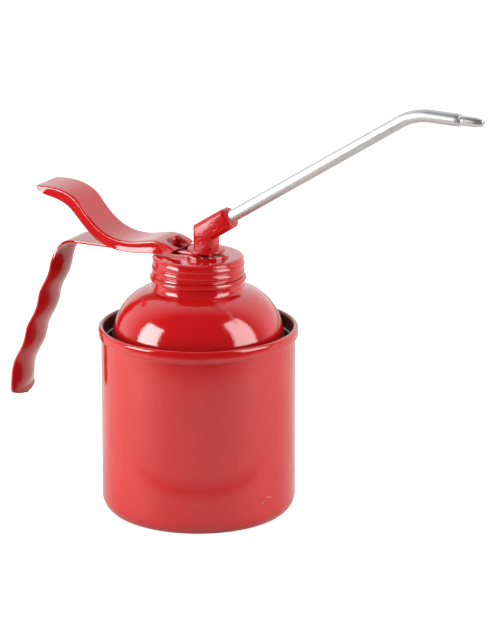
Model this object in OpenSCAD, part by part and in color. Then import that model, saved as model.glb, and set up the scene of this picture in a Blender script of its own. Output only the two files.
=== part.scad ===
// Force-feed pump oil can: a drawn cup with a drip rim, a domed shoulder, a screw cap that
// carries a spring-return lift pump, and a rigid spout that rises when the lever is pressed.
// Origin: centre of the flat bottom. +Z up, +X towards the spout, finger grip towards -X.

/* [Can] */
// Outside diameter of the cup
can_d = 85; // [80:0.5:92]
// Sheet thickness of the cup and the shoulder
can_t = 0.8; // [0.6:0.1:1]
// Outside radius of the bottom corner
corner_r = 7.9; // [5:0.1:10]
// Outside diameter over the rolled rim
rim_d = 87.4; // [86.6:0.1:88]
// Height of the top of the rolled rim
rim_top = 84.3; // [82:0.1:86]

/* [Shoulder] */
// Widest outside radius of the domed shoulder
dome_r = 37.4; // [34:0.1:39]
// Height at which the dome is widest
dome_z = 79.2; // [76:0.1:80]
// Height at which the dome meets the neck
dome_top = 101.2; // [100:0.1:102]

/* [Neck and cap] */
// Outside radius of the threaded part of the neck
neck_r = 18.6; // [18:0.05:18.7]
// Outside radius of the seat ring at the foot of the neck
seat_r = 21.15; // [20.6:0.05:22]
// Outside radius of the screw cap
cap_r = 20.3; // [20.1:0.05:20.6]
// Height of the top of the screw cap
cap_top = 115.9; // [115.5:0.1:116.5]
// Rise of the cap thread in one turn
thread_pitch = 3.05; // [2.5:0.05:3.5]

/* [Finger grip] */
// Sheet thickness of the grip strip
grip_t = 1.1; // [0.9:0.1:1.2]
// Width of the strip where it lies inside the lever
grip_arm_w = 16.4; // [14:0.1:16.8]
// Width of the part that the fingers hold
grip_w = 19; // [17:0.5:22]
// Height of the lower end of the grip
grip_low = 41.3; // [36:0.1:50]
// Depth of the finger waves, from the middle to a crest
wave_a = 0.5; // [0.2:0.1:0.9]
// Length of one finger wave
wave_l = 17; // [14:0.5:22]

/* [Thumb lever] */
// Sheet thickness of the lever
lever_t = 1.1; // [0.9:0.1:1.2]
// Outside width of the lever
lever_w = 19.6; // [19.4:0.1:21]
// Full swing of the lever in degrees
lever_swing = 9; // [6:0.5:9]

/* [Spout] */
// Place of the pump and spout axis along X
pump_x = 4.1; // [3.5:0.1:4.5]
// Outside diameter of the spout tube
spout_d = 5.6; // [5.2:0.1:6]
// Upward slope of the straight spout in degrees
spout_slope = 32.4; // [25:0.1:40]
// X at which the tube ends and the nozzle starts
spout_end_x = 124; // [115:1:140]
// Radius of the tube's bend, along its centre line
bend_r = 25; // [18:1:30]
// Wall thickness of the spout tube
spout_t = 0.8; // [0.5:0.1:1.2]

/* [Pump] */
// Bore radius of the pump cylinder
bore_r = 6; // [5.5:0.1:7]
// Outside radius of the hollow plunger tube
rod_r = 3.2; // [3:0.05:3.4]
// Height of the suction strainer's lower end
strainer_z = 4; // [3:0.5:10]

/* [Hidden] */
$fn = 96;

RED = "#b5121f";
STEEL = "#c3c7cb";
BRASS = "#c9a24a";
BLACK = "#2a2a2c";
BIG = 200;
FIT = 0.05;     // radial running clearance

can_r = can_d / 2;
rim_r = rim_d / 2;
bead_r = 1.15;
bead_h = 5;
flange_z = 74;

ring_z0 = 104.8;
ring_z1 = 107.2;
neck_in_r = neck_r - 1.2;
neck_top = cap_top - 1.6;
cap_in_r = neck_r + 0.3;
cap_low = ring_z1 + 0.25;
cap_under = cap_top - 0.8;
ridge_r = 1.15;
ridge_count = 3;

strip_top = cap_top + grip_t;
pump_hole_r = 4.7;
stud_x = -10.2;
stud_r = 1.75;

fork_low = strip_top + 0.1;
fork_top = fork_low + lever_t;
collar_r = 8.3;
collar_low = fork_top + 0.1;
collar_top = collar_low + 1;
pivot_x = -30.5;
pivot_z = 119.05;
lift_arm = pump_x - pivot_x;

elbow_h = 4.8;
elbow_bevel = 1.7;
elbow_z = 127;
elbow_len = 14.6;

head_z0 = 104.5;
chamber_top = 103.5;
cyl_r = bore_r + 1;
head_hex_r = 9.4;
piston_low = 82;
piston_h = 5;
washer_h = 0.8;
rod_low = piston_low + 2.5;
foot_z0 = 68;
foot_seat_z = 74;
foot_top = 80;
tube_r = 2;

// ---- shared shapes ----------------------------------------------------------------

// Point at t on a cubic curve with control points c[0..3]
function cubic(c, t) =
    pow(1 - t, 3) * c[0] + 3 * t * pow(1 - t, 2) * c[1]
    + 3 * t * t * (1 - t) * c[2] + t * t * t * c[3];

// A chain of cubic curves as one list of points, n steps each
function chain(curves, n) = concat(
    [curves[0][0]],
    [for (c = curves) for (i = [1:n]) cubic(c, i / n)]
);

// Unit normal on the left of the path p at point i
function left_normal(p, i) =
    let (a = p[max(i - 1, 0)], b = p[min(i + 1, len(p) - 1)], d = (b - a) / norm(b - a))
    [-d[1], d[0]];

function shifted(p, gap) = [for (i = [0:len(p) - 1]) p[i] + gap * left_normal(p, i)];
function backwards(p) = [for (i = [len(p) - 1:-1:0]) p[i]];

// An outline drawn in X and Z, given width w along Y and centred on y
module side_plate(points, w, y = 0) {
    translate([0, y + w / 2, 0]) rotate([90, 0, 0]) linear_extrude(w) polygon(points);
}

module tube(r_out, r_in, z0, z1) {
    difference() {
        translate([0, 0, z0]) cylinder(r = r_out, h = z1 - z0);
        translate([0, 0, z0 - 1]) cylinder(r = r_in, h = z1 - z0 + 2);
    }
}

module at_pump() translate([pump_x, 0, 0]) children();

// A round-wire coil spring standing on z0, with closed ends
module coil(wire_r, coil_r, z0, z1, turns, steps, sides) {
    count = turns * steps;
    low = z0 + wire_r;
    high = z1 - wire_r;
    rings = [for (i = [0:count])
        let (a = 360 * i / steps, z = low + (high - low) * i / count)
        [for (k = [0:sides - 1])
            let (b = 360 * k / sides, r = coil_r + wire_r * cos(b))
            [r * cos(a), r * sin(a), z + wire_r * sin(b)]]];
    walls = [for (i = [0:count - 1]) for (k = [0:sides - 1])
        let (n = (k + 1) % sides)
        [i * sides + k, i * sides + n, (i + 1) * sides + n, (i + 1) * sides + k]];
    polyhedron(
        points = [for (ring = rings) for (p = ring) p],
        faces = concat(
            [for (f = walls) [f[3], f[2], f[1], f[0]]],
            [[for (k = [0:sides - 1]) k]],
            [[for (k = [sides - 1:-1:0]) count * sides + k]]
        )
    );
}

// ---- can --------------------------------------------------------------------------

module can_body() {
    color(RED) rotate_extrude() {
        square([can_r - corner_r, can_t]);
        translate([can_r - corner_r, corner_r]) intersection() {
            difference() {
                circle(corner_r);
                circle(corner_r - can_t);
            }
            translate([0, -corner_r]) square(corner_r);
        }
        translate([can_r - can_t, corner_r]) square([can_t, rim_top - corner_r - bead_r]);
        translate([rim_r - 2 * bead_r, rim_top - bead_h + bead_r])
            square([2 * bead_r, bead_h - 2 * bead_r]);
        for (z = [rim_top - bead_r, rim_top - bead_h + bead_r])
            translate([rim_r - bead_r, z]) circle(bead_r);
    }
}

// Half-axes of the dome's elliptical section, measured from its own centre
dome_a = 21.3;
dome_b = 22.4;
function dome_arc(inset) = [for (a = [-20:6:76])
    [dome_r - dome_a + (dome_a - inset) * cos(a), dome_z + (dome_b - inset) * sin(a)]];

module dome_shoulder() {
    upstand_r = neck_r + 1.1;
    outer = concat(dome_arc(0), [[upstand_r, dome_top], [upstand_r, ring_z0]]);
    inner = concat(
        dome_arc(can_t),
        [[upstand_r - can_t, dome_top - can_t], [upstand_r - can_t, ring_z0]]
    );
    foot = [[can_r - can_t, flange_z - 2.5], [can_r - can_t, flange_z]];
    color(RED) rotate_extrude() polygon(concat(
        [foot[1]], [[dome_arc(0)[0][0] + 2, flange_z - 1]], outer, backwards(inner),
        [[dome_arc(can_t)[0][0] + 1, flange_z - 2.5]], [foot[0]]
    ));
}

module threaded_neck() {
    edge_r = (ring_z1 - ring_z0) / 2;
    color(RED) rotate_extrude() {
        translate([neck_in_r, ring_z0 - 6]) square([neck_r + 0.3 - neck_in_r, 6.5]);
        translate([neck_in_r, ring_z0]) square([seat_r - edge_r - neck_in_r, ring_z1 - ring_z0]);
        translate([seat_r - edge_r, ring_z0 + edge_r]) circle(edge_r);
        translate([neck_in_r, ring_z1]) square([neck_r - neck_in_r, neck_top - ring_z1]);
    }
}

// ---- cap --------------------------------------------------------------------------

module cap_gasket() {
    color(BLACK) tube(neck_r, neck_in_r - 2.5, neck_top, cap_under);
}

module screw_cap() {
    top_r = 2;
    color(RED) difference() {
        rotate_extrude() {
            square([cap_r - top_r, cap_top]);
            translate([cap_r - top_r, cap_top - top_r]) circle(top_r);
            square([cap_r - 0.6, cap_top - top_r]);
            for (i = [1:ridge_count - 1])
                translate([cap_r - ridge_r, cap_top - top_r + 0.35 - i * thread_pitch])
                    circle(ridge_r);
        }
        translate([0, 0, -1]) cylinder(r = BIG, h = cap_low + 1);
        cylinder(r = cap_in_r, h = cap_under);
        at_pump() cylinder(r = pump_hole_r, h = BIG);
        translate([stud_x, 0, 0]) cylinder(r = stud_r, h = BIG);
    }
}

// ---- finger grip ------------------------------------------------------------------

bend_x = -58.5;
bend_out_r = 8.5;
bend_turn = 69;
lean = tan(90 - bend_turn);
knee = [bend_x - bend_out_r * sin(bend_turn), strip_top - bend_out_r * (1 - cos(bend_turn))];

// Outer face of the grip at height z: a leaning line with finger waves and a curled-in end
function grip_x(z) =
    let (ramp = min(1, (knee[1] - z) / 8), curl = max(0, 54 - z))
    knee[0] - lean * (knee[1] - z) - ramp * wave_a * cos(360 * (z - 58) / wave_l)
    - 0.02 * max(0, 86 - z) + 0.035 * curl * curl;

grip_steps = 44;
grip_path = concat(
    [[pump_x + grip_arm_w / 2, strip_top]],
    [for (a = [0:11.5:bend_turn]) [bend_x - bend_out_r * sin(a),
        strip_top - bend_out_r * (1 - cos(a))]],
    [for (i = [1:grip_steps]) let (z = knee[1] + (grip_low - knee[1]) * i / grip_steps)
        [grip_x(z), z]]
);

module finger_grip() {
    end_r = 26;
    neck_x = bend_x - 3;
    disc_r = 9.8;
    arm_path = [for (p = grip_path) if (p[0] > neck_x) p];
    hold_path = [for (p = grip_path) if (p[0] <= bend_x + 0.1) p];
    color(RED) difference() {
        union() {
            side_plate(concat(arm_path, backwards(shifted(arm_path, grip_t))), grip_arm_w);
            intersection() {
                side_plate(concat(hold_path, backwards(shifted(hold_path, grip_t))), grip_w);
                union() {
                    translate([-BIG / 2, -grip_w / 2, grip_low + end_r])
                        cube([BIG, grip_w, BIG]);
                    translate([-BIG / 2, 0, grip_low + end_r])
                        rotate([0, 90, 0]) cylinder(r = end_r, h = BIG);
                }
            }
            at_pump() translate([0, 0, cap_top]) cylinder(r = disc_r, h = grip_t);
            // fulcrum rib across the strip
            translate([pivot_x, grip_arm_w / 2, strip_top]) rotate([90, 0, 0]) difference() {
                cylinder(r = pivot_z - strip_top, h = grip_arm_w);
                translate([-5, -10 - grip_t / 2, -1]) cube([10, 10, grip_arm_w + 2]);
            }
        }
        at_pump() translate([0, 0, cap_top - 1]) cylinder(r = pump_hole_r, h = 5);
        translate([stud_x, 0, cap_top - 1]) cylinder(r = stud_r, h = 5);
    }
}

// ---- thumb lever ------------------------------------------------------------------

lever_end_x = -75.6;
lever_front = [-7.3, 119.5];
pocket_x0 = -15.2;
pocket_w = 13.4;

lever_top = chain([
    [[lever_end_x, 140.1], [-66, 140.6], [-57.5, 138.8], [-52.5, 132.6]],
    [[-52.5, 132.6], [-47.5, 126.4], [-41.5, 120.2], [pivot_x, 120.2]],
    [[pivot_x, 120.2], [-24, 120.2], [-19.5, 122.3], [-14.8, 122]],
    [[-14.8, 122], [-12.2, 121.8], [-9.5, 120.6], lever_front]
], 10);

lever_low = chain([
    [[lever_end_x, 138.6], [-72, 135.6], [-64, 136.4], [-57, 129.9]],
    [[-57, 129.9], [-50.5, 123.3], [-46, 116.2], [-33, 115.5]],
    [[-33, 115.5], [-26, 115.1], [-20, 116.05], [-14, 116.1]],
    [[-14, 116.1], [-12, 116.1], [-10, 117], [lever_front[0] - 0.8, lever_front[1] - 1]]
], 10);

module thumb_lever() {
    flange_y = (lever_w - lever_t) / 2;
    web_y = (pocket_w + lever_t) / 2;
    rod_gap = 2 * rod_r + 0.6;
    slot_r = stud_r + 0.35;
    slot_x0 = stud_x - 0.3;
    slot_x1 = stud_x + 0.9;
    pocket_top = [[pocket_x0 - 1.4, 122], [pocket_x0 + 0.4, 121.4], [pocket_x0 + 2.2, fork_top],
        [pump_x, fork_top]];
    color(RED) difference() {
        union() {
            difference() {
                side_plate(concat(lever_top, backwards(shifted(lever_top, -lever_t))), lever_w);
                translate([pocket_x0, -pocket_w / 2, 110]) cube([20, pocket_w, 20]);
            }
            for (s = [-1, 1]) side_plate(
                concat(lever_top, backwards(lever_low)), lever_t, s * flange_y);
            // pocket around the stud, running on into the lifting fork
            side_plate(concat(pocket_top, [[pump_x, fork_low], [pocket_x0 + 1.3, fork_low],
                [pocket_x0 - 1.4, 120.7]]), pocket_w);
            for (s = [-1, 1]) side_plate([
                [pocket_x0, 121.2], [-12, 120.9], [-9.5, 120.1], [lever_front[0], 118.9],
                [lever_front[0], fork_low], [pocket_x0 + 1.3, fork_low]
            ], lever_t, s * web_y);
        }
        // gap between the two fork tines, and the tines' width
        translate([lever_front[0] + 1, -rod_gap / 2, 110]) cube([30, rod_gap, 20]);
        for (s = [-1, 1]) translate([lever_front[0], s > 0 ? 6.2 : -16.2, 110])
            cube([30, 10, 20]);
        // slot that the stud stands in
        for (x = [slot_x0, slot_x1]) translate([x, 0, 110]) cylinder(r = slot_r, h = 20);
        translate([slot_x0, -slot_r, 110]) cube([slot_x1 - slot_x0, 2 * slot_r, 20]);
    }
}

module lever_stud() {
    head_r = 2.6;
    head_z = fork_top + (stud_x + head_r - pivot_x) * sin(lever_swing) + 0.1;
    head_edge = 0.4;
    dome = 1.3;
    ball_r = (head_r * head_r + dome * dome) / (2 * dome);
    translate([stud_x, 0, 0]) color(RED) {
        translate([0, 0, cap_under]) cylinder(r = stud_r, h = head_z - cap_under + 0.5);
        translate([0, 0, cap_under - 0.7]) cylinder(r = stud_r + 1.2, h = 0.7);
        translate([0, 0, head_z]) cylinder(r = head_r, h = head_edge);
        intersection() {
            translate([0, 0, head_z + head_edge + dome - ball_r]) sphere(ball_r);
            translate([0, 0, head_z + head_edge]) cylinder(r = head_r, h = 5);
        }
    }
}

// ---- elbow and spout --------------------------------------------------------------

// Square bar with bevelled long edges, standing on z = 0
module bevelled_bar(half, bevel, h) {
    k = half - bevel;
    linear_extrude(h) polygon([[half, -k], [half, k], [k, half], [-k, half],
        [-half, k], [-half, -k], [-k, -half], [k, -half]]);
}

// Half-space on the arm's side of the mitre between leg and arm
module arm_side() {
    translate([0, 0, elbow_z]) rotate([0, -(90 + spout_slope) / 2, 0])
        translate([0, -20, -50]) cube([50, 40, 100]);
}

module along_arm() {
    translate([0, 0, elbow_z]) rotate([0, 90 - spout_slope, 0]) children();
}

module spout_elbow() {
    at_pump() color(RED) difference() {
        union() {
            difference() {
                translate([0, 0, collar_low]) bevelled_bar(elbow_h, elbow_bevel, 24);
                arm_side();
            }
            intersection() {
                along_arm() translate([0, 0, -12]) difference() {
                    bevelled_bar(elbow_h, elbow_bevel, elbow_len + 12);
                    // bevelled end
                    translate([0, 0, elbow_len + 12 - 1.6]) difference() {
                        cylinder(r = 12, h = 4);
                        cylinder(r1 = elbow_h + 1, r2 = elbow_h - 0.8, h = 1.7);
                    }
                }
                arm_side();
            }
            translate([0, 0, collar_low]) cylinder(r = collar_r, h = collar_top - collar_low);
        }
        translate([0, 0, collar_low - 1]) cylinder(r = rod_r, h = 7);
        translate([0, 0, collar_low]) cylinder(r = 1.6, h = elbow_z - collar_low);
        along_arm() sphere(1.6, $fn = 32);
        along_arm() cylinder(r = 1.6, h = 20);
        along_arm() translate([0, 0, 5.5]) cylinder(r = spout_d / 2, h = 20);
    }
}

// Where the straight spout would meet the level stretch
rise = tan(spout_slope);
level_z = 189.5;
corner_x = pump_x + (level_z - elbow_z) / rise;
tip_turn = spout_slope + 1;
tangent = bend_r * tan(tip_turn / 2);
straight_len = (corner_x - pump_x) / cos(spout_slope) - tangent;

level_len = spout_end_x - corner_x - tangent;

// The spout's bent path as a round bar of radius r, its two ends longer by over
module spout_bar(r, over = 0) {
    start = 6 - over;
    translate([0, 0, start]) cylinder(r = r, h = straight_len - start);
    translate([bend_r, 0, straight_len]) rotate([-90, 0, 0]) rotate([0, 0, 180])
        rotate_extrude(angle = tip_turn) translate([bend_r, 0]) circle(r);
    at_bend_end() cylinder(r = r, h = level_len + over);
}

// Frame at the end of the bend, +Z running on along the tube
module at_bend_end() {
    translate([bend_r, 0, straight_len]) rotate([0, tip_turn, 0]) translate([-bend_r, 0, 0])
        children();
}

module spout_tube() {
    at_pump() along_arm() color(STEEL) difference() {
        spout_bar(spout_d / 2);
        spout_bar(spout_d / 2 - spout_t, 1);
    }
}

module nozzle_tip() {
    plug_r = spout_d / 2 - spout_t;
    nozzle_r = 2.2;
    nozzle_mouth = 1.5;
    nozzle_body = 7;
    nozzle_len = 10.5;
    at_pump() along_arm() at_bend_end() translate([0, 0, level_len]) color(STEEL)
        difference() {
            union() {
                translate([0, 0, -8]) cylinder(r = plug_r, h = 8.5);
                cylinder(r = nozzle_r, h = nozzle_body);
                translate([0, 0, nozzle_body])
                    cylinder(r1 = nozzle_r, r2 = nozzle_mouth, h = nozzle_len - nozzle_body);
            }
            translate([0, 0, -9]) cylinder(r = 1.2, h = 15);
            translate([0, 0, -9]) cylinder(r = 0.75, h = 25);
        }
}

// ---- pump -------------------------------------------------------------------------

module plunger_tube() {
    at_pump() color(STEEL) difference() {
        tube(rod_r, 1.3, rod_low, collar_low + 6);
        translate([0, 0, rod_low - 1]) cylinder(r = 2, h = 9);
    }
}

module gland_bush() {
    at_pump() color(BRASS) difference() {
        union() {
            translate([0, 0, 107.8]) cylinder(r = pump_hole_r - 0.1, h = strip_top - 107.8);
            translate([0, 0, 107.8]) cylinder(r = pump_hole_r, h = 6);
        }
        translate([0, 0, 100]) cylinder(r = rod_r + FIT, h = 30);
    }
}

module rod_seal() {
    at_pump() color(BLACK) translate([0, 0, 107.1]) rotate_extrude()
        translate([rod_r + FIT + 0.62, 0]) circle(0.6, $fn = 32);
}

module cylinder_gasket() {
    at_pump() color(BLACK) tube(head_hex_r - 1.4, pump_hole_r + 0.1, cap_under - 0.8, cap_under);
}

module pump_cylinder() {
    head_top = cap_under - 0.8;
    at_pump() color(BRASS) difference() {
        union() {
            translate([0, 0, head_z0]) cylinder(r = head_hex_r, h = head_top - head_z0, $fn = 6);
            translate([0, 0, foot_z0 + 2]) cylinder(r = cyl_r, h = head_z0 - foot_z0);
        }
        translate([0, 0, 106.4]) cylinder(r = pump_hole_r, h = 20);
        translate([0, 0, 90]) cylinder(r = rod_r + 0.15, h = 30);
        translate([0, 0, foot_z0]) cylinder(r = bore_r, h = chamber_top - foot_z0);
    }
}

module piston() {
    at_pump() color(BRASS) difference() {
        translate([0, 0, piston_low + 1.5]) cylinder(r = bore_r - 0.1, h = piston_h - 1.5);
        translate([0, 0, piston_low]) cylinder(r = 1.1, h = 10);
        translate([0, 0, rod_low]) cylinder(r = rod_r, h = 10);
    }
}

module piston_seal() {
    at_pump() color(BLACK) difference() {
        translate([0, 0, piston_low]) cylinder(r = bore_r - FIT, h = 1.4);
        translate([0, 0, piston_low - 1]) cylinder(r = 1.6, h = 5);
    }
}

module thrust_washer() {
    at_pump() color(STEEL) tube(bore_r - 0.2, rod_r + FIT, piston_low + piston_h + 0.05,
        piston_low + piston_h + washer_h);
}

module return_spring() {
    at_pump() color(STEEL) coil(0.5, 4.6, piston_low + piston_h + washer_h, chamber_top, 6, 16, 8);
}

module outlet_ball() {
    seat = rod_low;
    at_pump() color(STEEL) translate([0, 0, seat + sqrt(1.5 * 1.5 - 1.1 * 1.1)]) sphere(1.5);
}

module outlet_spring() {
    at_pump() color(STEEL) coil(0.2, 1.25, rod_low + 2.6, rod_low + 8, 6, 12, 6);
}

module foot_valve_body() {
    at_pump() color(BRASS) difference() {
        union() {
            translate([0, 0, foot_z0]) cylinder(r = cyl_r, h = 2);
            translate([0, 0, foot_z0]) cylinder(r = bore_r, h = foot_top - foot_z0);
        }
        translate([0, 0, foot_z0 - 1]) cylinder(r = tube_r, h = 5);
        translate([0, 0, foot_z0 - 1]) cylinder(r = 1.4, h = 20);
        translate([0, 0, foot_seat_z]) cylinder(r = 2.4, h = 20);
        translate([0, bore_r + 1, foot_top - 1]) rotate([90, 0, 0])
            cylinder(r = 0.4, h = 2 * bore_r + 2);
    }
}

inlet_r = 2;
module inlet_ball() {
    at_pump() color(STEEL) translate([0, 0, foot_seat_z + sqrt(inlet_r * inlet_r - 1.4 * 1.4)])
        sphere(inlet_r);
}

module ball_stop() {
    at_pump() color(STEEL) translate([0, bore_r - 0.2, foot_top - 1]) rotate([90, 0, 0])
        cylinder(r = 0.4, h = 2 * bore_r - 0.4);
}

module suction_tube() {
    at_pump() color(STEEL) tube(tube_r, tube_r - 0.6, strainer_z + 3, foot_z0 + 4);
}

module strainer() {
    cup_r = tube_r + 1.4;
    at_pump() color(BRASS) difference() {
        translate([0, 0, strainer_z]) cylinder(r = cup_r, h = 8);
        translate([0, 0, strainer_z + 0.8]) cylinder(r = tube_r, h = 20);
        for (a = [0:45:179], z = [1.2, 2.4]) translate([0, 0, strainer_z + z]) rotate([0, 0, a])
            translate([-5, -0.35, 0]) cube([10, 0.7, 0.6]);
    }
}

can_body();
dome_shoulder();
threaded_neck();
cap_gasket();
screw_cap();
finger_grip();
thumb_lever();
lever_stud();
spout_elbow();
spout_tube();
nozzle_tip();
plunger_tube();
gland_bush();
rod_seal();
cylinder_gasket();
pump_cylinder();
piston();
piston_seal();
thrust_washer();
return_spring();
foot_valve_body();
inlet_ball();
ball_stop();
outlet_ball();
outlet_spring();
suction_tube();
strainer();
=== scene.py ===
import math

import bmesh
import bpy
from mathutils import Matrix, Vector


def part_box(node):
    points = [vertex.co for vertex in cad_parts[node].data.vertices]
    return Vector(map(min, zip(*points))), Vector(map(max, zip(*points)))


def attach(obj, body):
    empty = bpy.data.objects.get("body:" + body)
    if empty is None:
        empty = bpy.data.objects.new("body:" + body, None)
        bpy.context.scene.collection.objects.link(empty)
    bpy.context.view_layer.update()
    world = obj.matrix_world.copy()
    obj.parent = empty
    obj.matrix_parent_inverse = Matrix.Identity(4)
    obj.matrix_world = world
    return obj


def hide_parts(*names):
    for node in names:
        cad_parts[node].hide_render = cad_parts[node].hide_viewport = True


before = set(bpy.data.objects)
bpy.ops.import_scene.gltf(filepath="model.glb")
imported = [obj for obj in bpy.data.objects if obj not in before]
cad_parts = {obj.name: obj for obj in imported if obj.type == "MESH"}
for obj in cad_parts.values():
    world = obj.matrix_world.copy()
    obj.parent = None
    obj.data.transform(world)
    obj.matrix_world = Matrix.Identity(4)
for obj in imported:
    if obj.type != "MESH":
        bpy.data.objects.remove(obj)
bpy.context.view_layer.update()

MM = 0.001


# ---------------------------------------------------------------------------
# Sizes in millimetres, read from the frame where the frame has them
# ---------------------------------------------------------------------------

def box_mm(node):
    low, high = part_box(node)
    return low / MM, high / MM


_, can_hi = box_mm("can_body")
_, dome_hi = box_mm("dome_shoulder")
_, neck_hi = box_mm("threaded_neck")
cap_lo, cap_hi = box_mm("screw_cap")
grip_lo, _ = box_mm("finger_grip")
_, lever_hi = box_mm("thumb_lever")
stud_lo, stud_hi = box_mm("lever_stud")
elbow_lo, _ = box_mm("spout_elbow")
rod_lo, rod_hi = box_mm("plunger_tube")

RIM_R = can_hi.x
RIM_TOP = can_hi.z
CAN_R = 42.5
CAN_T = 0.8
CORNER_R = 7.9
BEAD_R = 1.15
BEAD_H = 5.0

DOME_R = 37.4
DOME_A = 21.3
DOME_B = 22.4
DOME_Z = 79.2
DOME_TOP = 101.2
FLANGE_Z = 74.0

SEAT_R = neck_hi.x
NECK_TOP = neck_hi.z
NECK_R = 18.6
RING_Z0 = dome_hi.z
RING_Z1 = 107.2

CAP_R = 20.3
CAP_TOP = cap_hi.z
CAP_LOW = cap_lo.z
PITCH = 3.05

PUMP_X = (rod_lo.x + rod_hi.x) / 2
ROD_R = (rod_hi.x - rod_lo.x) / 2
SHEET = 1.1
STRIP_TOP = CAP_TOP + SHEET
FORK_LOW = STRIP_TOP + 0.1
FORK_TOP = FORK_LOW + SHEET
COLLAR_LOW = elbow_lo.z
COLLAR_TOP = COLLAR_LOW + 1.0
COLLAR_R = 8.3
STUD_X = -10.2
STUD_R = 1.75
PIVOT_X = -30.5

ELBOW_Z = 127.0
ELBOW_HALF = 4.8
ELBOW_BEVEL = 1.7
ELBOW_LEN = 14.6
SLOPE = math.radians(32.4)
SPOUT_R = 2.8
SPOUT_T = 0.8
BEND_R = 25.0
LEVEL_Z = 189.5
TIP_DROP = math.radians(1.0)
SPOUT_END_X = 124.0


# ---------------------------------------------------------------------------
# Small mesh tools
# ---------------------------------------------------------------------------

def arc(cx, cz, r, start, end, steps):
    """Points on a circle of radius r, from start to end degrees."""
    out = []
    for i in range(steps + 1):
        a = math.radians(start + (end - start) * i / steps)
        out.append((cx + r * math.cos(a), cz + r * math.sin(a)))
    return out


def cubic(c, t):
    """Point at t on a cubic curve with four control points."""
    weights = ((1 - t) ** 3, 3 * t * (1 - t) ** 2, 3 * t * t * (1 - t), t ** 3)
    return Vector((sum(w * p[0] for w, p in zip(weights, c)),
                   sum(w * p[1] for w, p in zip(weights, c))))


def chain(curves, steps):
    out = [cubic(curves[0], 0)]
    for c in curves:
        out += [cubic(c, i / steps) for i in range(1, steps + 1)]
    return out


def resample(path, count):
    """The same path with count + 1 points at even distances."""
    lengths = [0.0]
    for a, b in zip(path, path[1:]):
        lengths.append(lengths[-1] + (b - a).length)
    out = []
    k = 0
    for i in range(count + 1):
        s = lengths[-1] * i / count
        while k < len(path) - 2 and lengths[k + 1] < s:
            k += 1
        t = (s - lengths[k]) / max(lengths[k + 1] - lengths[k], 1e-9)
        out.append(path[k].lerp(path[k + 1], t))
    return out


def smoothstep(a, b, x):
    t = min(1.0, max(0.0, (x - a) / (b - a)))
    return t * t * (3 - 2 * t)


def grid_faces(rows, n):
    """Faces of an open grid with n points in each row."""
    return [(i * n + k, (i + 1) * n + k, (i + 1) * n + k + 1, i * n + k + 1)
            for i in range(rows - 1) for k in range(n - 1)]


def ring_faces(rings, n):
    """Faces between rings of n points laid one after another."""
    return [(i * n + k, i * n + (k + 1) % n, (i + 1) * n + (k + 1) % n, (i + 1) * n + k)
            for i in range(rings - 1) for k in range(n)]


def turned_faces(segments, n, closed=True):
    """Faces of a profile of n points repeated round an axis."""
    faces = []
    for i in range(segments):
        j = (i + 1) % segments
        for k in range(n if closed else n - 1):
            m = (k + 1) % n
            faces.append((i * n + k, j * n + k, j * n + m, i * n + m))
    return faces


def new_object(name, verts, faces, smooth=True):
    """A mesh object from vertices in millimetres."""
    mesh = bpy.data.meshes.new(name)
    mesh.from_pydata([tuple(c * MM for c in v) for v in verts], [], faces)
    bm = bmesh.new()
    bm.from_mesh(mesh)
    bmesh.ops.remove_doubles(bm, verts=bm.verts, dist=1e-7)
    bmesh.ops.recalc_face_normals(bm, faces=bm.faces)
    bm.to_mesh(mesh)
    bm.free()
    obj = bpy.data.objects.new(name, mesh)
    bpy.context.scene.collection.objects.link(obj)
    if smooth:
        mesh.shade_smooth()
    return obj


def join(name, objs):
    """Joins mesh objects into the first one and names it."""
    bpy.ops.object.select_all(action="DESELECT")
    for o in objs:
        o.select_set(True)
    bpy.context.view_layer.objects.active = objs[0]
    bpy.ops.object.join()
    objs[0].name = name
    objs[0].data.name = name
    return objs[0]


def lathe_data(profile, segments=160, closed=False):
    """Vertices and faces of a profile of (radius, height) turned about Z."""
    verts = []
    for i in range(segments):
        a = 2 * math.pi * i / segments
        verts += [(r * math.cos(a), r * math.sin(a), z) for r, z in profile]
    return verts, turned_faces(segments, len(profile), closed)


def lathe(name, profile, segments=160, closed=False, place=None):
    verts, faces = lathe_data(profile, segments, closed)
    if place is not None:
        verts = [tuple(place @ Vector(v)) for v in verts]
    return new_object(name, verts, faces)


def prism(name, outline, low, high, smooth=True):
    """An outline in X and Y raised from one height to another."""
    n = len(outline)
    verts = [(x, y, low) for x, y in outline] + [(x, y, high) for x, y in outline]
    faces = [tuple(range(n)), tuple(range(2 * n - 1, n - 1, -1))]
    faces += ring_faces(2, n)
    return new_object(name, verts, faces, smooth)


def sharpen(obj, degrees=35):
    """Keeps edges sharper than the angle as edges in the shading."""
    mesh = obj.data
    bm = bmesh.new()
    bm.from_mesh(mesh)
    limit = math.radians(degrees)
    for e in bm.edges:
        e.smooth = not (len(e.link_faces) == 2 and e.calc_face_angle(0) > limit)
    bm.to_mesh(mesh)
    bm.free()
    return obj


def bevel(obj, width, segments=2, degrees=30):
    m = obj.modifiers.new("bevel", "BEVEL")
    m.width = width * MM
    m.segments = segments
    m.limit_method = "ANGLE"
    m.angle_limit = math.radians(degrees)
    m.harden_normals = False
    return obj


def apply_modifiers(obj):
    graph = bpy.context.evaluated_depsgraph_get()
    mesh = bpy.data.meshes.new_from_object(obj.evaluated_get(graph))
    old = obj.data
    obj.modifiers.clear()
    obj.data = mesh
    bpy.data.meshes.remove(old)
    mesh.name = obj.name
    return obj


# ---------------------------------------------------------------------------
# Materials
# ---------------------------------------------------------------------------

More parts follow.
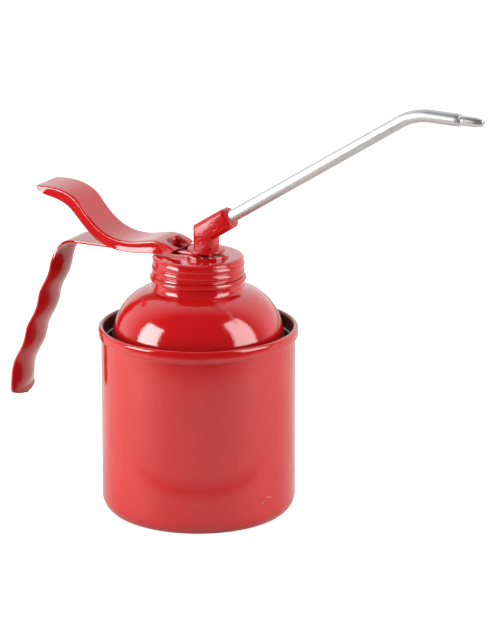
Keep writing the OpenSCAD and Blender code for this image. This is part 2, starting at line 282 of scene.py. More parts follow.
class Nodes:
    """Shorthand for building one node material."""

    def __init__(self, name):
        self.material = bpy.data.materials.new(name)
        self.material.use_nodes = True
        self.tree = self.material.node_tree
        self.tree.nodes.clear()
        self.output = self.add("ShaderNodeOutputMaterial")
        self.shader = self.add("ShaderNodeBsdfPrincipled")
        self.link(self.shader.outputs["BSDF"], self.output.inputs["Surface"])
        self.coords = self.add("ShaderNodeTexCoord").outputs["Object"]

    def add(self, kind, **values):
        node = self.tree.nodes.new(kind)
        for key, value in values.items():
            setattr(node, key, value)
        return node

    def link(self, a, b):
        self.tree.links.new(a, b)

    def set(self, **values):
        for key, value in values.items():
            self.shader.inputs[key.replace("_", " ")].default_value = value

    def stretched(self, scale):
        m = self.add("ShaderNodeMapping")
        m.inputs["Scale"].default_value = scale
        self.link(self.coords, m.inputs["Vector"])
        return m.outputs["Vector"]

    def noise(self, scale, detail=3.0, rough=0.5, vector=None):
        n = self.add("ShaderNodeTexNoise")
        n.inputs["Scale"].default_value = scale
        n.inputs["Detail"].default_value = detail
        n.inputs["Roughness"].default_value = rough
        self.link(vector or self.coords, n.inputs["Vector"])
        return n.outputs["Fac"]

    def remap(self, value, low, high, to_low, to_high):
        m = self.add("ShaderNodeMapRange")
        for key, v in (("From Min", low), ("From Max", high), ("To Min", to_low), ("To Max", to_high)):
            m.inputs[key].default_value = v
        self.link(value, m.inputs["Value"])
        return m.outputs["Result"]

    def math(self, operation, a, b):
        m = self.add("ShaderNodeMath", operation=operation)
        for socket, v in zip(m.inputs, (a, b)):
            if isinstance(v, (int, float)):
                socket.default_value = v
            else:
                self.link(v, socket)
        return m.outputs[0]

    def mix(self, factor, a, b):
        m = self.add("ShaderNodeMix", data_type="RGBA")
        self.link(factor, m.inputs[0])
        for socket, v in ((m.inputs[6], a), (m.inputs[7], b)):
            if isinstance(v, tuple):
                socket.default_value = v
            else:
                self.link(v, socket)
        return m.outputs[2]

    def bump(self, height, distance, strength=1.0, normal=None):
        b = self.add("ShaderNodeBump")
        b.inputs["Distance"].default_value = distance
        b.inputs["Strength"].default_value = strength
        self.link(height, b.inputs["Height"])
        if normal is not None:
            self.link(normal, b.inputs["Normal"])
        return b.outputs["Normal"]

    def along(self, direction):
        """How far the shaded point lies along a direction."""
        dot = self.add("ShaderNodeVectorMath", operation="DOT_PRODUCT")
        self.link(self.coords, dot.inputs[0])
        dot.inputs[1].default_value = direction
        return dot.outputs["Value"]

    def near_points(self, points, radius):
        """1 close to any of the points (millimetres), 0 away from them, with a ragged edge."""
        ragged = self.math("MULTIPLY", self.noise(2600.0, 4.0, 0.7), 1.3 * radius * MM)
        best = None
        for p in points:
            d = self.add("ShaderNodeVectorMath", operation="DISTANCE")
            self.link(self.coords, d.inputs[0])
            d.inputs[1].default_value = [c * MM for c in p]
            best = d.outputs["Value"] if best is None else self.math("MINIMUM", best, d.outputs["Value"])
        reach = self.math("ADD", best, ragged)
        return self.remap(reach, 1.2 * radius * MM, 1.35 * radius * MM, 1.0, 0.0)


RED_DEEP = (0.50, 0.0070, 0.008, 1)
RED_MAIN = (0.58, 0.0085, 0.011, 1)
BARE_STEEL = (0.55, 0.54, 0.53, 1)


def enamel(name, chips=(), chip_r=0.5, pebble=0.0, base=(RED_DEEP, RED_MAIN)):
    """Gloss red stove enamel with orange peel, and bare metal where it is chipped."""
    n = Nodes(name)
    colour = n.mix(n.noise(60.0, 4.0), *base)
    fine = n.noise(1900.0, 2.0)
    broad = n.noise(160.0, 2.0)
    normal = n.bump(broad, 0.00006, 0.5)
    normal = n.bump(n.noise(620.0, 2.0), 0.00004, 0.6, normal)
    normal = n.bump(fine, 0.00003, 0.7, normal)
    if pebble:
        normal = n.bump(n.noise(1150.0, 3.0, 0.6), pebble * MM, 1.0, normal)
    rough = n.remap(n.noise(90.0, 5.0, 0.7), 0.3, 0.7, 0.07, 0.13)
    if chips:
        chipped = n.near_points(chips, chip_r)
        colour = n.mix(chipped, colour, BARE_STEEL)
        n.link(chipped, n.shader.inputs["Metallic"])
        rough = n.math("ADD", rough, n.math("MULTIPLY", chipped, 0.25))
        normal = n.bump(n.math("SUBTRACT", 1.0, chipped), 0.00005, 1.0, normal)
    n.link(colour, n.shader.inputs["Base Color"])
    n.link(rough, n.shader.inputs["Roughness"])
    n.link(normal, n.shader.inputs["Normal"])
    n.link(normal, n.shader.inputs["Coat Normal"])
    gloss = 0.35 if pebble else 0.95
    n.set(Coat_Weight=gloss, Coat_Roughness=0.12 if pebble else 0.03, Coat_IOR=1.5, Specular_IOR_Level=0.4)
    return n.material


def dark_steel(name):
    """A dark brownish-grey, partly metallic colour for the inside of the drip rim."""
    n = Nodes(name)
    colour = n.mix(n.noise(140.0, 5.0, 0.65), (0.10, 0.045, 0.04, 1), (0.22, 0.13, 0.12, 1))
    n.link(colour, n.shader.inputs["Base Color"])
    n.link(n.remap(n.noise(300.0, 4.0), 0.3, 0.7, 0.25, 0.5), n.shader.inputs["Roughness"])
    n.link(n.bump(n.noise(700.0, 3.0), 0.00002), n.shader.inputs["Normal"])
    n.set(Metallic=0.55)
    return n.material


def drawn_metal(name, light, dark, rough=(0.22, 0.38), stretch=(60.0, 900.0, 900.0), grain=0.00002):
    """Metal with fine drawing marks along the part and a slightly cloudy tone."""
    n = Nodes(name)
    marks = n.noise(1.0, 4.0, 0.6, n.stretched(stretch))
    cloud = n.noise(90.0, 4.0, 0.6)
    n.link(n.mix(n.math("MULTIPLY", n.math("ADD", marks, cloud), 0.5), dark, light),
           n.shader.inputs["Base Color"])
    n.link(n.remap(marks, 0.3, 0.7, *rough), n.shader.inputs["Roughness"])
    normal = n.bump(marks, grain, 0.8)
    normal = n.bump(n.noise(1500.0, 2.0), grain * 0.8, 0.6, normal)
    n.link(normal, n.shader.inputs["Normal"])
    n.set(Metallic=1.0)
    return n.material


def soft_seal(name, light, dark, scale=600.0, rough=0.6):
    n = Nodes(name)
    n.link(n.mix(n.noise(scale, 5.0, 0.7), dark, light), n.shader.inputs["Base Color"])
    n.link(n.remap(n.noise(scale * 2, 3.0), 0.3, 0.7, rough - 0.1, rough + 0.15),
           n.shader.inputs["Roughness"])
    n.link(n.bump(n.noise(scale * 3, 3.0), 0.00003), n.shader.inputs["Normal"])
    return n.material


# Small losses of paint: on the lower right of the body, and on the dome
BODY_CHIPS = [(40.5, -12.9, 14.9), (40.8, -11.9, 14.6), (41.1, -10.9, 14.2), (39.6, -15.4, 12.9)]
DOME_CHIPS = [(26.2, 8.4, 98.1), (28.8, 3.5, 97.0)]

MAT_BODY = enamel("red_enamel_body", chips=BODY_CHIPS, chip_r=0.4)
MAT_DOME = enamel("red_enamel_dome", chips=DOME_CHIPS, chip_r=0.5)
MAT_RED = enamel("red_enamel_sheet")
MAT_CAST = enamel("red_enamel_cast", pebble=0.035)
MAT_GROOVE = dark_steel("dark_groove_steel")
MAT_SPOUT = drawn_metal("spout_zinc", (0.80, 0.81, 0.82, 1), (0.62, 0.63, 0.64, 1), rough=(0.36, 0.50))
MAT_NOZZLE = drawn_metal("nozzle_turned", (0.88, 0.89, 0.90, 1), (0.68, 0.69, 0.70, 1),
                         rough=(0.30, 0.42), stretch=(1400.0, 60.0, 60.0))
MAT_STEEL = drawn_metal("bright_steel", (0.80, 0.80, 0.82, 1), (0.62, 0.62, 0.64, 1),
                        rough=(0.12, 0.22), stretch=(900.0, 900.0, 50.0))
MAT_SPRING = drawn_metal("spring_wire", (0.5, 0.5, 0.52, 1), (0.3, 0.3, 0.31, 1))
MAT_BRASS = drawn_metal("pump_brass", (0.80, 0.60, 0.28, 1), (0.58, 0.41, 0.16, 1),
                        rough=(0.2, 0.35), stretch=(50.0, 50.0, 1400.0))
MAT_RUBBER = soft_seal("seal_rubber", (0.035, 0.035, 0.036, 1), (0.012, 0.012, 0.013, 1))
MAT_LEATHER = soft_seal("seal_leather", (0.22, 0.12, 0.06, 1), (0.10, 0.05, 0.025, 1), 300.0, 0.5)


def paint(obj, material):
    obj.data.materials.clear()
    obj.data.materials.append(material)
    return obj


def finish_piece(obj, body, node, slot, *materials):
    """Gives a new piece its materials and its body, and hides the CAD node it stands for."""
    if materials:
        paint(obj, materials[0])
        for m in materials[1:]:
            obj.data.materials.append(m)
    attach(obj, body)
    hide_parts(node)
    return obj


# ---------------------------------------------------------------------------
# Can, dome and neck
# ---------------------------------------------------------------------------

def make_can_body():
    """Drawn cup: flat bottom, rounded corner, straight wall, rolled rim, plain inside."""
    corner = CAN_R - CORNER_R
    bead_c = RIM_R - BEAD_R
    low_bead = RIM_TOP - BEAD_H + BEAD_R
    inner_r = CAN_R - CAN_T
    outside = [(0.0, 0.0), (corner * 0.5, 0.0), (corner * 0.97, 0.0)]
    outside += arc(corner, CORNER_R, CORNER_R, -90, 0, 20)
    # points up the wall keep its shading straight right up to the bead
    under = low_bead - BEAD_R
    outside += [(CAN_R, z) for z in (16, 30, 45, 60, 74, under - 0.8, under - 0.15)]
    outside += [(CAN_R + 0.05, under + 0.05)]
    outside += arc(bead_c, low_bead, BEAD_R, -75, 0, 8)
    outside += arc(bead_c, RIM_TOP - BEAD_R, BEAD_R, 0, 180, 16)
    outside += [(bead_c - BEAD_R, RIM_TOP - BEAD_H * 0.6), (inner_r, RIM_TOP - BEAD_H - 0.3)]
    inside = [(inner_r, z) for z in (74, 60, 40, 20)]
    inside += [(x, z) for x, z in reversed(arc(corner, CORNER_R, CORNER_R - CAN_T, -90, 0, 12))]
    inside += [(corner * 0.5, CAN_T), (0.0, CAN_T)]
    profile = outside + inside
    obj = sharpen(lathe("can_body_shell", profile, 256), 32)
    paint(obj, MAT_BODY)
    obj.data.materials.append(MAT_GROOVE)
    groove_r = bead_c - BEAD_R * 0.55
    for f in obj.data.polygons:
        c = f.center / MM
        inside_face = f.normal.xy.dot(c.xy) < 0 and c.xy.length < groove_r and c.z > 1
        f.material_index = 1 if inside_face else 0
    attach(obj, "can")
    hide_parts("can_body")
    return obj


def make_seam():
    """The bright line of the seam inside the drip rim."""
    seam_r, seam_z, wire = 41.35, 77.4, 0.32
    obj = lathe("rim_seam", arc(seam_r, seam_z, wire, 0, 360, 10)[:-1], 192, closed=True)
    paint(obj, MAT_STEEL)
    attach(obj, "can")
    return obj


def dome_arc(inset, start, end, steps):
    out = []
    for i in range(steps + 1):
        a = math.radians(start + (end - start) * i / steps)
        out.append((DOME_R - DOME_A + (DOME_A - inset) * math.cos(a),
                    DOME_Z + (DOME_B - inset) * math.sin(a)))
    return out


def make_dome():
    """Domed shoulder: foot flange against the wall, elliptical crown, short upstand."""
    wall_r = CAN_R - CAN_T
    up_r = NECK_R + 1.1
    foot_r = 37.7
    outer = [(wall_r, FLANGE_Z - 0.4), (wall_r, FLANGE_Z)]
    outer += [(wall_r - 1.2, FLANGE_Z + 0.05), (foot_r + 1.5, FLANGE_Z - 0.5), (foot_r, FLANGE_Z - 0.3)]
    outer += dome_arc(0, -12, 72, 56)
    # fillet into the upstand
    fillet_r = 1.6
    outer += [(up_r + fillet_r * 0.75, DOME_TOP - 0.35), (up_r + fillet_r * 0.3, DOME_TOP + 0.1)]
    outer += [(up_r + 0.05, DOME_TOP + 0.8), (up_r, DOME_TOP + 1.6), (up_r, RING_Z0)]
    inner = [(up_r - CAN_T, RING_Z0), (up_r - CAN_T, DOME_TOP - CAN_T)]
    inner += list(reversed(dome_arc(CAN_T, -12, 70, 30)))
    inner += [(foot_r - 0.5, FLANGE_Z - 1.8), (wall_r, FLANGE_Z - 2.0)]
    obj = lathe("dome_shell", outer + inner, 256, closed=True)
    paint(obj, MAT_DOME)
    obj.data.materials.append(MAT_GROOVE)
    for f in obj.data.polygons:
        c = f.center / MM
        f.material_index = 1 if (c.z < FLANGE_Z + 0.5 and c.xy.length > foot_r - 0.1) else 0
    sharpen(obj, 50)
    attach(obj, "can")
    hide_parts("dome_shoulder")
    return obj


def make_neck():
    """Neck tube with the round seat ring under the cap."""
    ring_r = (RING_Z1 - RING_Z0) / 2
    mid = RING_Z0 + ring_r
    in_r = NECK_R - 1.2
    profile = [(in_r, RING_Z0 - 6), (NECK_R + 0.3, RING_Z0 - 6), (NECK_R + 0.3, RING_Z0)]
    profile += arc(SEAT_R - ring_r, mid, ring_r, -90, 90, 16)
    profile += [(NECK_R, RING_Z1), (NECK_R, NECK_TOP - 0.3), (NECK_R - 0.3, NECK_TOP)]
    profile += [(in_r + 0.3, NECK_TOP), (in_r, NECK_TOP - 0.3)]
    obj = lathe("neck_ring", profile, 192, closed=True)
    sharpen(obj, 40)
    return finish_piece(obj, "can", "threaded_neck", "red_enamel", MAT_RED)


def thread_swell(angle, z):
    """Height of the rolled thread ridge above the skirt at that angle and height."""
    start = math.radians(-118)
    first_drop, highest, half_height, runout_turns = 2.35, CAP_TOP - 2.3, 1.25, 0.16
    turn = ((angle - start) / (2 * math.pi)) % 1.0
    top_centre = CAP_TOP - first_drop - PITCH * turn
    steps_up = round((z - top_centre) / PITCH)
    centre = top_centre + PITCH * steps_up
    if centre > highest:
        return 0.0
    ridge = max(0.0, 1.0 - ((z - centre) / half_height) ** 2) ** 0.8
    return ridge * smoothstep(0.0, runout_turns, turn - steps_up)


def make_cap():
    """Screw cap: rounded top edge, flat top, skirt with one rolled thread."""
    segments, rows = 288, 64
    edge_r = 1.9
    swell = 0.72
    skirt_r = CAP_R - swell
    inner_r = NECK_R + 0.3
    hole_r = 4.9
    top_in = CAP_TOP - 0.8
    verts = []
    for i in range(segments):
        a = 2 * math.pi * i / segments
        ring = [(hole_r, CAP_TOP), (10.0, CAP_TOP), (15.0, CAP_TOP), (CAP_R - edge_r - 0.9, CAP_TOP)]
        ring += [(x, z) for x, z in reversed(arc(CAP_R - edge_r - 0.1, CAP_TOP - edge_r, edge_r, 25, 90, 8))]
        z_start = ring[-1][1] - 0.3
        for k in range(rows + 1):
            z = z_start + (CAP_LOW - z_start) * k / rows
            ring.append((skirt_r + swell * thread_swell(a, z), z))
        ring += [(inner_r, CAP_LOW), (inner_r, top_in), (hole_r, top_in)]
        verts += [(r * math.cos(a), r * math.sin(a), z) for r, z in ring]
    obj = new_object("screw_cap_shell", verts, turned_faces(segments, len(ring)))
    sharpen(obj, 60)
    return finish_piece(obj, "pump_head", "screw_cap", "red_enamel", MAT_RED)


# ---------------------------------------------------------------------------
# Finger grip and thumb lever: bent sheet
# ---------------------------------------------------------------------------

BEND_X = -58.5
BEND_OUT_R = 8.5
BEND_TURN = 69.0
WAVE_A = 0.5
WAVE_L = 17.0
WAVE_Z = 58
DRIFT = 0.02
DRIFT_Z = 86
CURL = 0.035
CURL_Z = 54
DISC_R = 9.8
CROWN = 2.9
GRIP_LOW = grip_lo.z
GRIP_HALF = 9.5
ARM_HALF = 8.2


def grip_path():
    """The grip's outer face in X and Z: flat arm, bend, leaning wavy hold, curled end."""
    knee = Vector((BEND_X - BEND_OUT_R * math.sin(math.radians(BEND_TURN)),
                   STRIP_TOP - BEND_OUT_R * (1 - math.cos(math.radians(BEND_TURN)))))
    lean = math.tan(math.radians(90 - BEND_TURN))
    path = [Vector((PUMP_X + DISC_R, STRIP_TOP)), Vector((-20.0, STRIP_TOP)), Vector((BEND_X, STRIP_TOP))]
    for i in range(1, 15):
        a = math.radians(BEND_TURN * i / 14)
        path.append(Vector((BEND_X - BEND_OUT_R * math.sin(a), STRIP_TOP - BEND_OUT_R * (1 - math.cos(a)))))
    steps = 120
    for i in range(1, steps + 1):
        z = knee[1] + (GRIP_LOW - knee[1]) * i / steps
        ramp = min(1.0, (knee[1] - z) / 8)
        curl = CURL * max(0.0, CURL_Z - z) ** 2
        wave = ramp * WAVE_A * math.cos(2 * math.pi * (z - WAVE_Z) / WAVE_L)
        drift = DRIFT * max(0.0, DRIFT_Z - z)
        path.append(Vector((knee[0] - lean * (knee[1] - z) - wave - drift + curl, z)))
    return path


def grip_half_width(p):
    """Half the strip's width at a point of its path."""
    end_r = 26.0
    if p[1] < GRIP_LOW + 2.0:
        drop = GRIP_LOW + end_r - p[1]
        return min(GRIP_HALF, math.sqrt(max(0.0, end_r ** 2 - drop ** 2)))
    from_disc = p[0] - PUMP_X
    if p[1] > STRIP_TOP - 0.01 and from_disc > -DISC_R:
        disc = math.sqrt(max(0.0, DISC_R ** 2 - from_disc ** 2))
        return max(disc, ARM_HALF if from_disc < 0 else 0.0)
    return ARM_HALF + (GRIP_HALF - ARM_HALF) * smoothstep(-57.0, -64.0, p[0])


def sheet_strip(name, path, half_width, columns):
    """A strip of sheet as one surface across Y, following path in X and Z, crowned in the hold."""
    verts = []
    lean = math.radians(90 - BEND_TURN)
    for p in path:
        w = half_width(p)
        crown = CROWN * smoothstep(STRIP_TOP - 2, STRIP_TOP - 12, p[1])
        crown *= 0.35 + 0.65 * smoothstep(GRIP_LOW, GRIP_LOW + 9, p[1])
        for k in range(columns + 1):
            across = 2 * k / columns - 1
            push = crown * (1 - (across * w / GRIP_HALF) ** 2)
            verts.append((p[0] + push * math.cos(lean), w * across, p[1] - push * math.sin(lean)))
    return new_object(name, verts, grid_faces(len(path), columns + 1))


def thicken(obj, thickness, inward):
    """Gives a surface its sheet thickness, on the side that the vector inward points to."""
    up = sum(f.normal.dot(inward) * f.area for f in obj.data.polygons)
    m = obj.modifiers.new("sheet", "SOLIDIFY")
    m.thickness = thickness * MM
    m.offset = 1.0 if up > 0 else -1.0
    m.use_even_offset = True
    m.use_quality_normals = True
    return obj


def make_grip():
    """The finger grip: round disc on the cap, flat arm, bend and wavy hold, from one strip."""
    fan = [Vector((PUMP_X + DISC_R * math.cos(math.radians(5 * i)), STRIP_TOP)) for i in range(0, 21)]
    path = grip_path()
    foot_high = 3
    foot = [p for p in path if p[1] <= GRIP_LOW + foot_high]
    rest = resample([fan[-1]] + path[1:len(path) - len(foot) + 1], 300)[1:]
    knots = 16
    for i in range(1, knots + 1):
        z = GRIP_LOW + foot_high * (1 - i / knots) ** 2
        rest.append(Vector((foot[-1][0] + (foot[0][0] - foot[-1][0]) * (z - GRIP_LOW) / foot_high, z)))
    obj = sheet_strip("grip_strip", fan + rest, grip_half_width, 24)
    thicken(obj, SHEET, Vector((0.6, 0, -0.8)))
    bevel(obj, 0.28, 3, 40)
    apply_modifiers(obj)
    obj.data.shade_smooth()
    return finish_piece(obj, "pump_head", "finger_grip", "red_enamel", MAT_RED)


LEVER_HALF = lever_hi.y
FLANGE_Y = LEVER_HALF - 0.45
LEVER_FRONT = (-7.0, 118.8)

LEVER_TOP = [
    [(-75.6, 140.1), (-69, 140.4), (-58.5, 141.2), (-52.5, 132.8)],
    [(-52.5, 132.8), (-47.5, 126.4), (-41.5, 120.2), (PIVOT_X, 120.2)],
    [(PIVOT_X, 120.2), (-25, 120.2), (-20.5, 122.1), (-16.8, 122)],
    [(-16.8, 122), (-12.4, 121.8), (-9.0, 120.6), LEVER_FRONT],
]
LEVER_LOW = [
    [(-74.9, 139.0), (-71.5, 134.6), (-63.4, 137.2), (-57, 130.2)],
    [(-57, 130.2), (-50.5, 123.4), (-46, 116.2), (-33, 115.5)],
    [(-33, 115.5), (-26, 115.1), (-20, 116.4), (-14, 116.5)],
    [(-14, 116.5), (-12, 116.5), (-10, 116.8), (LEVER_FRONT[0] - 1.0, LEVER_FRONT[1] - 1)],
]

ROLL_R = 0.8


def lever_section(columns=28, corner=6, flange=10):
    """(y, drop, share) across the lever: drop from the plate round the roll, share of the flange."""
    half = []
    flat = FLANGE_Y - ROLL_R
    for k in range(columns // 2 + 1):
        half.append((flat * k / (columns // 2), 0.0, 0.0))
    for k in range(1, corner + 1):
        a = math.radians(90 * k / corner)
        half.append((flat + ROLL_R * math.sin(a), ROLL_R * (1 - math.cos(a)), 0.0))
    for k in range(1, flange + 1):
        half.append((FLANGE_Y, ROLL_R, k / flange))
    mirrored = [(-y, d, f) for y, d, f in reversed(half[1:])]
    return mirrored + half


def flare(x, share):
    """How far the flange leans: inward, but outward in the belly's lower half and at the thumb end."""
    belly = smoothstep(-40, -31, x) * (1 - smoothstep(-18, -12, x))
    thumb = 1 - smoothstep(-72, -69, x)
    return -0.25 * share + 0.6 * belly * max(0.0, share - 0.42) + 0.45 * thumb * share


def dish_drop(x, y, top_z):
    """How far the top plate is dished down round the stud; the dish is open to the front."""
    depth = max(0.0, top_z - FORK_TOP - 0.2)
    return depth * smoothstep(-13.8, -12.4, x) * (1.0 - smoothstep(2.6, 5.2, abs(y)))


def make_lever():
    """The pressed channel: S-shaped top plate, rolled edges, flanges, and the dish round the stud."""
    steps = 30
    top = chain(LEVER_TOP, steps)
    low = chain(LEVER_LOW, steps)
    section = lever_section()
    verts = []
    for p, q in zip(top, low):
        reach = (p - q).length
        for y, d, f in section:
            t = (min(d, reach) + f * max(0.0, reach - d)) / max(reach, 1e-6)
            at = p.lerp(q, min(1.0, t))
            z = at[1] - (dish_drop(at[0], y, at[1]) if d < 1e-6 else 0.0)
            side = flare(at[0], f) * (1 if y > 0 else -1)
            verts.append((at[0], y + side, z))
    shell = new_object("lever_shell", verts, grid_faces(len(top), len(section)))
    thicken(shell, SHEET, Vector((0, 0, -1)))
    apply_modifiers(shell)
    cut_slot(shell)
    bevel(shell, 0.25, 2, 50)
    apply_modifiers(shell)
    fork = make_fork()
    obj = join("lever_channel", [shell, fork])
    obj.data.shade_smooth()
    return finish_piece(obj, "lever", "thumb_lever", "red_enamel", MAT_RED)


def cut_slot(obj):
    """Cuts the stud's slot through the dish."""
    r = STUD_R + 0.35
    x0, x1 = STUD_X - 0.3, STUD_X + 0.9
    outline = arc(x1, 0, r, -90, 90, 20) + arc(x0, 0, r, 90, 270, 20)
    cutter = prism("slot_cutter", outline, 112.0, 125.0, smooth=False)
    m = obj.modifiers.new("slot", "BOOLEAN")
    m.operation = "DIFFERENCE"
    m.solver = "EXACT"
    m.object = cutter
    apply_modifiers(obj)
    bpy.data.objects.remove(cutter)


def make_fork():
    """The two tines that run under the elbow's collar."""
    tine_in = ROD_R + 0.3
    tine_out = 6.2
    tip_r = (tine_out - tine_in) / 2
    root_x = LEVER_FRONT[0] - 0.6
    parts = []
    for s in (-1, 1):
        mid = s * (tine_in + tine_out) / 2
        outline = [(root_x, mid - tip_r)]
        outline += arc(PUMP_X - tip_r, mid, tip_r, -90, 90, 14)
        outline += [(root_x, mid + tip_r)]
        tine = prism("tine", outline, FORK_LOW, FORK_TOP)
        bevel(tine, 0.2, 2, 50)
        parts.append(apply_modifiers(tine))
    return join("fork", parts)


def make_stud():
    """Mushroom-headed stud with a domed head and a small collar under it."""
    base = stud_lo.z
    head_r, dome, edge = 2.45, 1.6, 0.1
    head_z = stud_hi.z - 1.7
    foot_r, foot_top = STUD_R + 1.2, base + 0.7
    profile = [(0.0, base), (foot_r - edge, base), (foot_r, base + edge), (foot_r, foot_top)]
    profile += [(STUD_R, foot_top), (STUD_R, head_z - 0.15), (STUD_R + edge, head_z)]
    profile += [(head_r - edge, head_z), (head_r, head_z + edge)]
    ball = (head_r ** 2 + dome ** 2) / (2 * dome)
    full = math.degrees(math.asin(head_r / ball))
    profile += [(ball * math.sin(math.radians(full * (1 - i / 12))),
                 stud_hi.z - ball + ball * math.cos(math.radians(full * (1 - i / 12))))
                for i in range(13)]
    obj = lathe("mushroom_stud", profile, 72, place=Matrix.Translation((STUD_X, 0, 0)))
    sharpen(obj, 50)
    return finish_piece(obj, "pump_head", "lever_stud", "red_enamel", MAT_RED)


# ---------------------------------------------------------------------------
# Elbow, spout tube and nozzle
# ---------------------------------------------------------------------------

ARM_DIR = Vector((math.cos(SLOPE), 0, math.sin(SLOPE)))
ARM_UNDER = Vector((math.sin(SLOPE), 0, -math.cos(SLOPE)))
ELBOW_AT = Vector((PUMP_X, 0, ELBOW_Z))


def octagon(half, cut):
    """A square of twice half, with its corners cut off."""
    k = half - cut
    return [(half, -k), (half, k), (k, half), (-k, half),
            (-half, k), (-half, -k), (-k, -half), (k, -half)]


def make_elbow():
    """Cast elbow: bevelled leg and arm with a mitre, a chamfered end, a collar, two ring marks."""
    half_angle = (math.pi / 2 + SLOPE) / 2
    bar = octagon(ELBOW_HALF, ELBOW_BEVEL)
    small = octagon(ELBOW_HALF - 1.1, ELBOW_BEVEL - 0.5)
    rings = [[Vector((PUMP_X + a, b, COLLAR_TOP - 0.4)) for a, b in bar]]
    rings.append([ELBOW_AT + Vector((a, b, -a / math.tan(half_angle))) for a, b in bar])
    for outline, out in ((bar, ELBOW_LEN - 1.5), (small, ELBOW_LEN)):
        rings.append([ELBOW_AT + ARM_DIR * out + ARM_UNDER * a + Vector((0, b, 0)) for a, b in outline])
    verts = [tuple(v) for ring in rings for v in ring]
    sides = len(bar)
    faces = [tuple(range(sides)), tuple(range(len(verts) - 1, len(verts) - sides - 1, -1))]
    faces += ring_faces(len(rings), sides)
    bar_obj = new_object("elbow_bar", verts, faces, smooth=False)
    bevel(bar_obj, 0.28, 3, 15)
    apply_modifiers(bar_obj)
    bar_obj.data.shade_smooth()
    edge = 0.3
    collar = [(ROD_R, COLLAR_LOW), (COLLAR_R - edge, COLLAR_LOW)]
    collar += arc(COLLAR_R - edge, COLLAR_LOW + edge, edge, -90, 0, 4)
    collar += arc(COLLAR_R - edge, COLLAR_TOP - edge, edge, 0, 90, 4)
    collar += [(ELBOW_HALF + 1.6, COLLAR_TOP), (ELBOW_HALF + 0.6, COLLAR_TOP + 0.25)]
    collar += [(ROD_R, COLLAR_TOP + 0.8)]
    collar_obj = lathe("elbow_collar", collar, 96, closed=True, place=Matrix.Translation((PUMP_X, 0, 0)))
    marks = []
    leg_mark = Vector((PUMP_X, 0, 122.6))
    arm_mark = ELBOW_AT + ARM_DIR * 6.8
    for s in (-1, 1):
        for centre in (leg_mark, arm_mark):
            marks += ring_mark(centre, s)
    obj = join("elbow_casting", [bar_obj, collar_obj] + marks)
    return finish_piece(obj, "spout", "spout_elbow", "red_cast", MAT_CAST)


def ring_mark(centre, side):
    """A plain raised ring with a dot, cast on a side face of the elbow."""
    turn = Matrix.Rotation(math.radians(-90 * side), 4, "X")
    place = Matrix.Translation(Vector((centre[0], side * (ELBOW_HALF - 0.12), centre[2]))) @ turn
    ring = lathe("cast_ring", arc(1.95, 0, 0.28, 0, 360, 10)[:-1], 48, closed=True, place=place)
    dot = [(0.0, 0.26), (0.35, 0.22), (0.55, 0.08), (0.6, -0.1)]
    return [ring, lathe("cast_dot", dot, 24, place=place)]


def spout_route():
    """(point, direction) along the tube's centre line, from inside the elbow to its end."""
    corner = Vector((PUMP_X + (LEVEL_Z - ELBOW_Z) / math.tan(SLOPE), 0, LEVEL_Z))
    turn = SLOPE + TIP_DROP
    tangent = BEND_R * math.tan(turn / 2)
    straight = (corner - ELBOW_AT).length - tangent
    level = Vector((math.cos(-TIP_DROP), 0, math.sin(-TIP_DROP)))
    start_bend = ELBOW_AT + ARM_DIR * straight
    centre = start_bend + ARM_UNDER * BEND_R
    level_len = SPOUT_END_X - corner[0] - tangent
    inset = 6
    route = [(ELBOW_AT + ARM_DIR * (inset + (straight - inset) * i / 24), ARM_DIR) for i in range(25)]
    bend_steps = 20
    for i in range(1, bend_steps + 1):
        a = SLOPE - turn * i / bend_steps
        out = Vector((-math.sin(a), 0, math.cos(a)))
        route.append((centre + out * BEND_R, Vector((math.cos(a), 0, math.sin(a)))))
    end = route[-1][0]
    route += [(end + level * (level_len * i / 6), level) for i in range(1, 7)]
    return route


def ring_at(point, direction, radius, sides):
    up = Vector((-direction[2], 0, direction[0]))
    return [tuple(point + (up * math.cos(2 * math.pi * k / sides)
                           + Vector((0, 1, 0)) * math.sin(2 * math.pi * k / sides)) * radius)
            for k in range(sides)]


def make_spout():
    """Bent tube with a rounded lip and a short open bore at its end."""
    sides = 48
    bore_r = SPOUT_R - SPOUT_T + 0.05
    route = spout_route()
    end, along = route[-1]
    stations = [(p, d, SPOUT_R) for p, d in route[:-1]]
    stations.append((end - along * 0.35, along, SPOUT_R))
    stations.append((end - along * 0.08, along, SPOUT_R - 0.10))
    stations.append((end, along, SPOUT_R - 0.35))
    stations.append((end, along, bore_r))
    stations.append((end - along * 2.0, along, bore_r))
    verts = []
    for p, d, r in stations:
        verts += ring_at(p, d, r, sides)
    obj = new_object("spout_pipe", verts, ring_faces(len(stations), sides))
    sharpen(obj, 50)
    return finish_piece(obj, "spout", "spout_tube", "spout_metal", MAT_SPOUT)


def make_nozzle():
    """Turned tip: short cylinder, taper and a drilled mouth."""
    end, along = spout_route()[-1]
    body_r, mouth_r, hole_r, shoulder_r, shank_r = 2.2, 1.5, 0.75, 2.35, 1.9
    length, straight, shank = 10.5, 7.0, 6.0
    profile = [(hole_r, 4.0), (hole_r, length - 0.25), (hole_r + 0.2, length)]
    profile += [(mouth_r - 0.2, length), (mouth_r, length - 0.2)]
    profile += [(body_r - 0.05, straight), (body_r, straight - 0.4), (body_r, 0.5)]
    profile += [(shoulder_r, 0.25), (shoulder_r, -0.1), (shank_r, -0.1), (shank_r, -shank)]
    turn = Vector((0, 0, 1)).rotation_difference(along).to_matrix().to_4x4()
    obj = lathe("nozzle", list(reversed(profile)), 64, place=Matrix.Translation(end) @ turn)
    sharpen(obj, 25)
    return finish_piece(obj, "spout", "nozzle_tip", "nozzle_metal", MAT_NOZZLE)


# ---------------------------------------------------------------------------
# The pump and seals keep their CAD shapes
# ---------------------------------------------------------------------------

